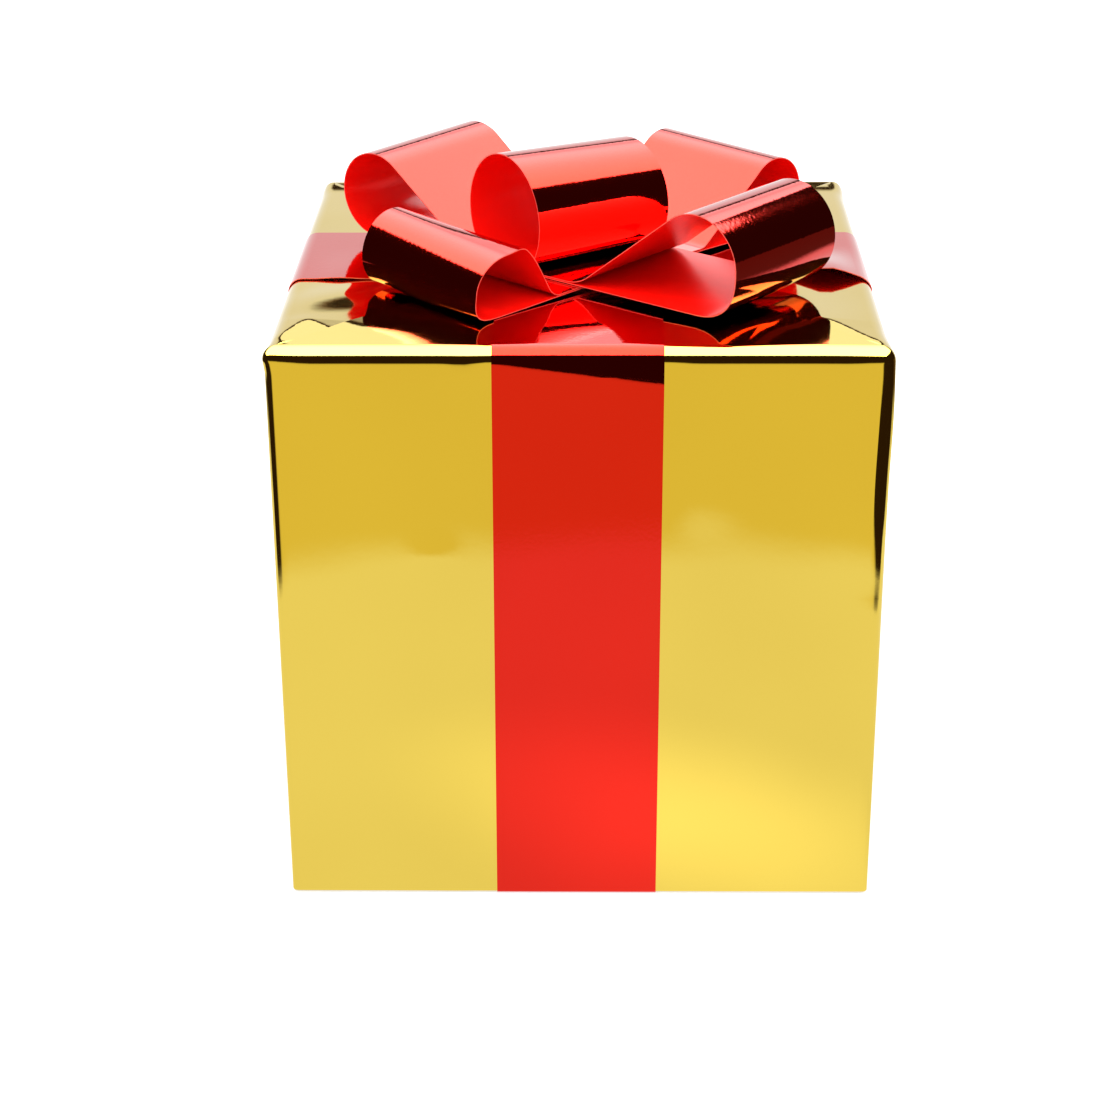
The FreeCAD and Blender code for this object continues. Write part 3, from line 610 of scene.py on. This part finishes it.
def draw_bend(bm, tip, x, z, angle):
    """Turns the tip about a centre, from x towards z for a positive angle, and returns its new tip."""
    steps = max(2, math.ceil(abs(angle) / BEND_STEP))
    way = math.copysign(1, angle)
    turned = bmesh.ops.spin(bm, geom=[tip], cent=(x, tip.co.y, z), axis=(0, -way, 0), angle=abs(angle),
                            steps=steps)
    return next(v for v in turned["geom_last"] if isinstance(v, bmesh.types.BMVert))


def draw_across(bm):
    """Closes a path into a loop and draws it across the ribbon's width, with its faces outwards."""
    bmesh.ops.remove_doubles(bm, verts=bm.verts, dist=1e-6)
    long_runs = [e for e in bm.edges if e.calc_length() > 8 * MM]
    bmesh.ops.subdivide_edges(bm, edges=long_runs, cuts=10)
    bmesh.ops.translate(bm, vec=(0, -BOW_WIDTH / 2, 0), verts=bm.verts)
    edges = bm.edges[:]
    for step in range(WIDTH_STEPS):
        made = bmesh.ops.extrude_edge_only(bm, edges=edges)["geom"]
        verts = {g for g in made if isinstance(g, bmesh.types.BMVert)}
        bmesh.ops.translate(bm, vec=(0, BOW_WIDTH / WIDTH_STEPS, 0), verts=list(verts))
        edges = [g for g in made if isinstance(g, bmesh.types.BMEdge) and all(v in verts for v in g.verts)]
    lowest = min(bm.faces, key=lambda f: f.calc_center_median().z)
    lowest.normal_update()
    if lowest.normal.z > 0:
        bmesh.ops.reverse_faces(bm, faces=bm.faces)


def place_strip(bm, node, body, azimuth, shift):
    """Turns a strip to its azimuth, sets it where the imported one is, and makes it a piece."""
    turn = Matrix.Rotation(azimuth, 3, "Z")
    floor = Vector((0, 0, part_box(node)[0].z + BOW_FILM))
    bmesh.ops.rotate(bm, matrix=turn, cent=(0, 0, 0), verts=bm.verts)
    bmesh.ops.translate(bm, vec=BOW_CENTRE + turn @ Vector((shift, 0, 0)) + floor, verts=bm.verts)
    made = make_piece(node.replace("bow_", "bow_film_"), bm, RIBBON_FINISHES, body, [node])
    thicken(made, BOW_FILM)


def looped_strip(node, body, azimuth, ends, split, sweep):
    """A loop pinched at its middle. Each end has its reach, the radius of its bend, how far it droops,
    how much lower its near edge is, how square it is pressed where it rests on the box, how far its
    upper run arches by the near edge, and how far it leans back. split is where the upper run leaves
    the lower one, on a curve of radius sweep."""
    centres = [end["reach"] - end["bend"] for end in ends]
    bends = [end["bend"] for end in ends]
    leave = []
    for centre, bend in zip(centres, bends):
        rise = bend - PINCH_GAP - sweep
        apart = math.hypot(centre - split, rise)
        leave.append(math.atan2(rise, centre - split) - math.acos((bend + sweep) / apart))
    curve = sweep - BOW_FILM
    crown = PINCH_GAP + sweep
    bm = bmesh.new()
    tip = bm.verts.new((-centres[1], 0, -BOW_FILM))
    tip = draw_run(bm, tip, centres[0], -BOW_FILM)
    tip = draw_bend(bm, tip, centres[0], bends[0], leave[0] + 1.5 * math.pi)
    tip = draw_run(bm, tip, split + curve * math.cos(leave[0]), crown + curve * math.sin(leave[0]))
    tip = draw_bend(bm, tip, split, crown, -leave[0] - math.pi / 2)
    tip = draw_run(bm, tip, -split, PINCH_GAP + BOW_FILM)
    tip = draw_bend(bm, tip, -split, crown, -leave[1] - math.pi / 2)
    outside = bends[1] + BOW_FILM
    tip = draw_run(bm, tip, -centres[1] + outside * math.cos(leave[1]),
                   bends[1] - outside * math.sin(leave[1]))
    draw_bend(bm, tip, -centres[1], bends[1], leave[1] + 1.5 * math.pi)
    draw_across(bm)
    for v in bm.verts:
        way = 1 if v.co.x > 0 else -1
        end = ends[v.co.x < 0]
        centre = end["reach"] - end["bend"]
        near = 0.5 - v.co.y / BOW_WIDTH
        outer = abs(v.co.x) - centre
        below = end["bend"] - v.co.z
        if outer > 0 and below > 0:
            radius = math.hypot(outer, below)
            square = 1 - (1 - end["press"]) * ramp(near, 0.0, 0.6)
            v.co.x = way * (centre + radius * (outer / radius) ** square)
            v.co.z = end["bend"] - radius * (below / radius) ** square
        elif v.co.z > PINCH_GAP and split < abs(v.co.x) < centre:
            part = (abs(v.co.x) - split) / (centre - split)
            v.co.z += end["arch"] * near * math.sin(math.pi * part) ** 2
        away = ramp(abs(v.co.x), *LOOP_FREE)
        v.co.x -= way * away * end["lean"] * v.co.z
        v.co.z -= away * (end["near_drop"] * near * v.co.z + end["droop"])
    place_strip(bm, node, body, azimuth, 0.0)


# Lower strip: a loop to the back right and one to the front left.
LOWER_AZIMUTH = math.radians(46.5)
BACK_RIGHT = {"reach": 81.0 * MM, "bend": 12.2 * MM, "droop": 0.7 * MM, "near_drop": 0.045, "press": 1.0,
              "arch": 0.0, "lean": 0.0}
FRONT_LEFT = {"reach": 68.0 * MM, "bend": 11.2 * MM, "droop": 0.8 * MM, "near_drop": 0.2, "press": 0.55,
              "arch": 3.5 * MM, "lean": 0.12}
looped_strip("bow_loops_lower", "bow_lower", LOWER_AZIMUTH, (BACK_RIGHT, FRONT_LEFT),
             split=32.0 * MM, sweep=6.0 * MM)

# Upper strip: a loop to the front right and one to the back left.
UPPER_AZIMUTH = math.radians(-39.5)
FRONT_RIGHT = {"reach": 82.0 * MM, "bend": 15.0 * MM, "droop": 0.0, "near_drop": 0.0, "press": 0.8,
               "arch": 0.0, "lean": 0.0}
BACK_LEFT = {"reach": 76.5 * MM, "bend": 13.8 * MM, "droop": 0.2 * MM, "near_drop": 0.03, "press": 1.0,
             "arch": 0.0, "lean": 0.0}
looped_strip("bow_loops_upper", "bow_upper", UPPER_AZIMUTH, (FRONT_RIGHT, BACK_LEFT),
             split=18.0 * MM, sweep=14.0 * MM)

# Bow ring
# A short length of the ribbon closed into a ring with a flat foot, on top of the crossed strips,
# with its axis to the right and back. The rivet passes through its foot.
RING_FLAT = 12.0 * MM
RING_CORNER = 12.0 * MM
RING_RISE = 2.5 * MM
RING_SHIFT = 2.4 * MM
RING_TAPER = 0.07
RING_AZIMUTH = math.radians(127.0)
ring = bmesh.new()
lean = math.atan2(-RING_RISE, RING_FLAT / 2)
tip = ring.verts.new((-RING_FLAT / 2, 0, -BOW_FILM))
tip = draw_run(ring, tip, RING_FLAT / 2, -BOW_FILM)
tip = draw_bend(ring, tip, RING_FLAT / 2, RING_CORNER, lean + math.pi / 2)
tip = draw_bend(ring, tip, 0, RING_CORNER + RING_RISE, math.pi - 2 * lean)
draw_bend(ring, tip, -RING_FLAT / 2, RING_CORNER, lean + math.pi / 2)
draw_across(ring)
for v in ring.verts:
    v.co.z *= 1.0 + RING_TAPER * v.co.y / BOW_WIDTH
place_strip(ring, "bow_ring", "bow_crown", RING_AZIMUTH, RING_SHIFT)

# Studio
# To the eye, a plain white floor and room. The films mirror a wide soft light overhead, a pale
# backdrop behind the box, and a dim brown room elsewhere. Places in the soft light are a direction's
# x and y over its z, and places on the backdrop its x and z over its y.

SOFT_LIGHT = 8.0
SOFT_LIGHT_REAR = 1.5
LIGHT_FADE = (1.75, 0.3)
LIGHT_HALF = 1.12
LIGHT_HALF_REAR_LEFT = 0.62
LIGHT_HALF_REAR_RIGHT = 0.60
NARROWS_LEFT = (0.0, 0.75)
NARROWS_RIGHT = (0.70, 1.05)
LIGHT_MIDDLE = 0.57
LIGHT_HALF_LENGTH = 1.70
LIGHT_EDGE = 0.02
BACKDROP = 1.0
BACKDROP_TOP = (0.390, 0.330)
BACKDROP_SIDE = (1.6, 1.1)
DIM_ROOM = 0.03
DIM_BELOW = 0.5
DIM_TINT = (1.0, 0.5, 0.25, 1.0)
WHITE = (1.0, 1.0, 1.0, 1.0)
EVEN_LIGHT = 1.1
LEAST = 0.001

world = bpy.data.worlds.new("studio")
bpy.context.scene.world = world
world.use_nodes = True
tree = world.node_tree
tree.nodes.clear()
way = add(tree, "ShaderNodeSeparateXYZ", {0: add(tree, "ShaderNodeTexCoord").outputs["Generated"]})
x, y, z = way.outputs
up = add(tree, "ShaderNodeMath", {0: z, 1: LEAST}, operation="MAXIMUM").outputs[0]
side = add(tree, "ShaderNodeMath", {0: x, 1: up}, operation="DIVIDE").outputs[0]
along = add(tree, "ShaderNodeMath", {0: y, 1: up}, operation="DIVIDE").outputs[0]
left_half = add(tree, "ShaderNodeMapRange", {
    "Value": along, "From Min": NARROWS_LEFT[0], "From Max": NARROWS_LEFT[1],
    "To Min": -LIGHT_HALF, "To Max": -LIGHT_HALF_REAR_LEFT}).outputs[0]
off_left = add(tree, "ShaderNodeMath", {0: side, 1: left_half}, operation="DIVIDE").outputs[0]
right_half = add(tree, "ShaderNodeMapRange", {
    "Value": along, "From Min": NARROWS_RIGHT[0], "From Max": NARROWS_RIGHT[1],
    "To Min": LIGHT_HALF, "To Max": LIGHT_HALF_REAR_RIGHT}).outputs[0]
off_right = add(tree, "ShaderNodeMath", {0: side, 1: right_half}, operation="DIVIDE").outputs[0]
off_side = add(tree, "ShaderNodeMath", {0: off_left, 1: off_right}, operation="MAXIMUM").outputs[0]
off_middle = add(tree, "ShaderNodeMath", {0: along, 1: LIGHT_MIDDLE}, operation="SUBTRACT").outputs[0]
off_middle = add(tree, "ShaderNodeMath", {0: off_middle}, operation="ABSOLUTE").outputs[0]
in_width = add(tree, "ShaderNodeMapRange", {
    "Value": off_side, "From Min": 1.0 + LIGHT_EDGE, "From Max": 1.0 - LIGHT_EDGE}).outputs[0]
in_length = add(tree, "ShaderNodeMapRange", {
    "Value": off_middle, "From Min": LIGHT_HALF_LENGTH + LIGHT_EDGE,
    "From Max": LIGHT_HALF_LENGTH - LIGHT_EDGE}).outputs[0]
overhead = add(tree, "ShaderNodeMath", {0: in_width, 1: in_length}, operation="MULTIPLY").outputs[0]
above = add(tree, "ShaderNodeMath", {0: z, 1: 0.0}, operation="GREATER_THAN").outputs[0]
overhead = add(tree, "ShaderNodeMath", {0: overhead, 1: above}, operation="MULTIPLY").outputs[0]
strength = add(tree, "ShaderNodeMapRange", {
    "Value": along, "From Min": LIGHT_FADE[0], "From Max": LIGHT_FADE[1],
    "To Min": SOFT_LIGHT_REAR, "To Max": SOFT_LIGHT}).outputs[0]
light = add(tree, "ShaderNodeMath", {0: overhead, 1: strength}, operation="MULTIPLY").outputs[0]
back = add(tree, "ShaderNodeMath", {0: y, 1: LEAST}, operation="MAXIMUM").outputs[0]
rise = add(tree, "ShaderNodeMath", {0: z, 1: back}, operation="DIVIDE").outputs[0]
low_enough = add(tree, "ShaderNodeMapRange", {
    "Value": rise, "From Min": BACKDROP_TOP[0], "From Max": BACKDROP_TOP[1]}).outputs[0]
span = add(tree, "ShaderNodeMath", {0: x, 1: back}, operation="DIVIDE").outputs[0]
span = add(tree, "ShaderNodeMath", {0: span}, operation="ABSOLUTE").outputs[0]
near_enough = add(tree, "ShaderNodeMapRange", {
    "Value": span, "From Min": BACKDROP_SIDE[0], "From Max": BACKDROP_SIDE[1]}).outputs[0]
screen = add(tree, "ShaderNodeMath", {0: low_enough, 1: near_enough}, operation="MULTIPLY").outputs[0]
screen = add(tree, "ShaderNodeMapRange", {
    "Value": screen, "To Min": DIM_ROOM, "To Max": BACKDROP}).outputs[0]
mirrored = add(tree, "ShaderNodeMath", {0: light, 1: screen}, operation="MAXIMUM").outputs[0]
rays = add(tree, "ShaderNodeLightPath").outputs
even = add(tree, "ShaderNodeMix", {"Factor": rays["Is Diffuse Ray"], "A": mirrored,
                                   "B": EVEN_LIGHT}).outputs[0]
shown = add(tree, "ShaderNodeMix", {"Factor": rays["Is Camera Ray"], "A": even, "B": 1.0}).outputs[0]
dimness = add(tree, "ShaderNodeMapRange", {
    "Value": mirrored, "From Min": DIM_BELOW, "From Max": DIM_ROOM}).outputs[0]
dimness = add(tree, "ShaderNodeMath", {0: dimness, 1: rays["Is Glossy Ray"]},
              operation="MULTIPLY").outputs[0]
tint = add(tree, "ShaderNodeMix", {"Factor": dimness, 6: WHITE, 7: DIM_TINT}, data_type="RGBA").outputs[2]
sky = add(tree, "ShaderNodeBackground", {"Color": tint, "Strength": shown})
add(tree, "ShaderNodeOutputWorld", {"Surface": sky.outputs[0]})

# The floor. To mirrored rays only, its material paints a pool of light round the box, with a painted glow
# at the front, painted warm gold farther out in front, painted shade at the sides, which is less dark on
# the right, and pale floor behind.
# Bearings run from straight ahead of the box's front, on either side, to straight behind it.
FLOOR_HALF = 12.0
FLOOR_WHITENESS = 0.6
POOL = 1.17
POOL_RADIUS = 0.37
POOL_RADIUS_SIDE = 0.50
POOL_TURN = (math.radians(62), math.radians(78))
POOL_EDGE = 0.02
POOL_SOFT_SIDE = 0.25
FAR_FLOOR = (0.65, 2.2)
# Painted reflection: a warm gold light that the floor shows only to mirrored rays in front of the box.
FRONT_PAINTED_GOLD = (1.03, 0.915, 0.42, 1.0)
FRONT_TURN = (math.radians(32), math.radians(24))
SIDE_FLOOR = 0.15
SIDE_FROM = (-0.1, 0.1)
SIDE_TURN = (math.radians(78), math.radians(96))
BACK_FLOOR = 1.1
BACK_TURN = (math.radians(105), math.radians(135))
GLOW = 0.38
GLOW_PLACE = (0.03, -0.14, 0.0)
GLOW_SIZE = (0.13, 0.075, 1.0)
GLOW_TURN = math.radians(37)
floor_mesh = bmesh.new()
bmesh.ops.create_grid(floor_mesh, x_segments=2, y_segments=2, size=FLOOR_HALF)
mesh = bpy.data.meshes.new("floor")
floor_mesh.to_mesh(mesh)
floor_mesh.free()
floor = bpy.data.objects.new("floor", mesh)
bpy.context.scene.collection.objects.link(floor)
# Seen straight on: white paint under an even white glow. To mirrored rays: the painted pool of light, glow
# and shade.
pale_floor_painted_pool, tree, coords = new_finish("pale_floor_painted_pool")
place = add(tree, "ShaderNodeSeparateXYZ", {0: coords})
x, y = place.outputs[0], place.outputs[1]
away = add(tree, "ShaderNodeVectorMath", {0: coords}, operation="LENGTH").outputs["Value"]
aside = add(tree, "ShaderNodeMath", {0: x}, operation="ABSOLUTE").outputs[0]
ahead = add(tree, "ShaderNodeMath", {0: y, 1: -1.0}, operation="MULTIPLY").outputs[0]
bearing = add(tree, "ShaderNodeMath", {0: aside, 1: ahead}, operation="ARCTAN2").outputs[0]
edge = add(tree, "ShaderNodeMapRange", {
    "Value": bearing, "From Min": POOL_TURN[0], "From Max": POOL_TURN[1],
    "To Min": POOL_RADIUS, "To Max": POOL_RADIUS_SIDE}).outputs[0]
soft = add(tree, "ShaderNodeMapRange", {
    "Value": bearing, "From Min": POOL_TURN[0], "From Max": POOL_TURN[1],
    "To Min": 1.0, "To Max": POOL_SOFT_SIDE}).outputs[0]
inside = add(tree, "ShaderNodeMath", {0: edge, 1: away}, operation="SUBTRACT").outputs[0]
inside = add(tree, "ShaderNodeMath", {0: inside, 1: soft}, operation="MULTIPLY").outputs[0]
pool = add(tree, "ShaderNodeMapRange", {"Value": inside, "From Min": -POOL_EDGE, "From Max": POOL_EDGE},
           interpolation_type="SMOOTHSTEP").outputs[0]
in_front = add(tree, "ShaderNodeMapRange", {
    "Value": bearing, "From Min": FRONT_TURN[0], "From Max": FRONT_TURN[1]},
    interpolation_type="SMOOTHSTEP").outputs[0]
close = add(tree, "ShaderNodeMapRange", {"Value": away, "From Min": FAR_FLOOR[1], "From Max": FAR_FLOOR[0]},
            interpolation_type="SMOOTHSTEP").outputs[0]
in_front = add(tree, "ShaderNodeMath", {0: in_front, 1: close}, operation="MULTIPLY").outputs[0]
on_right = add(tree, "ShaderNodeMapRange", {
    "Value": x, "From Min": SIDE_FROM[0], "From Max": SIDE_FROM[1],
    "To Min": DIM_ROOM, "To Max": SIDE_FLOOR}).outputs[0]
beside = add(tree, "ShaderNodeMapRange", {
    "Value": bearing, "From Min": SIDE_TURN[0], "From Max": SIDE_TURN[1],
    "To Min": DIM_ROOM, "To Max": on_right}).outputs[0]
behind = add(tree, "ShaderNodeMapRange", {
    "Value": bearing, "From Min": BACK_TURN[0], "From Max": BACK_TURN[1],
    "To Min": beside, "To Max": BACK_FLOOR}).outputs[0]
dimness = add(tree, "ShaderNodeMapRange", {
    "Value": behind, "From Min": DIM_BELOW, "From Max": DIM_ROOM}).outputs[0]
tint = add(tree, "ShaderNodeMix", {"Factor": dimness, 6: WHITE, 7: DIM_TINT}, data_type="RGBA").outputs[2]
room = add(tree, "ShaderNodeVectorMath", {0: tint, 1: behind}, operation="MULTIPLY").outputs[0]
room = add(tree, "ShaderNodeMix", {"Factor": in_front, 6: room, 7: FRONT_PAINTED_GOLD},
           data_type="RGBA").outputs[2]
# Painted light: a brighter glow on the floor in front of the box, seen only in the films.
in_glow = add(tree, "ShaderNodeMapping", {
    "Vector": coords, "Location": GLOW_PLACE, "Rotation": (0, 0, GLOW_TURN), "Scale": GLOW_SIZE},
    vector_type="TEXTURE").outputs[0]
in_glow = add(tree, "ShaderNodeVectorMath", {0: in_glow}, operation="LENGTH").outputs["Value"]
lit = add(tree, "ShaderNodeMapRange", {"Value": in_glow, "From Min": 1.0, "From Max": 0.0, "To Min": POOL,
                                       "To Max": POOL + GLOW}, interpolation_type="SMOOTHSTEP").outputs[0]
mirrored = add(tree, "ShaderNodeMix", {"Factor": pool, 6: room, 7: lit}, data_type="RGBA").outputs[2]
glow = add(tree, "ShaderNodeEmission", {"Color": mirrored, "Strength": 1.0})
paint = add(tree, "ShaderNodeBsdfDiffuse", {"Color": linear("F2F2F2")})
white = add(tree, "ShaderNodeEmission", {"Color": WHITE, "Strength": 1.0})
seen = add(tree, "ShaderNodeMixShader", {0: FLOOR_WHITENESS, 1: paint.outputs[0], 2: white.outputs[0]})
rays = add(tree, "ShaderNodeLightPath").outputs
surface = add(tree, "ShaderNodeMixShader", {0: rays["Is Glossy Ray"], 1: seen.outputs[0],
                                            2: glow.outputs[0]})
add(tree, "ShaderNodeOutputMaterial", {"Surface": surface.outputs[0]})
mesh.materials.append(pale_floor_painted_pool)

# Camera
# The photograph's view: from in front and above, with a long lens.
lens = bpy.data.cameras.new("camera")
lens.sensor_width = 36.0
lens.lens = 82.78
camera = bpy.data.objects.new("camera", lens)
camera.location = (5.81 * MM, -793.85 * MM, 423.54 * MM)
camera.rotation_euler = (math.radians(66.31), math.radians(0.293), math.radians(0.80))
bpy.context.scene.collection.objects.link(camera)
bpy.context.scene.camera = camera
bpy.context.scene.view_settings.view_transform = "Standard"
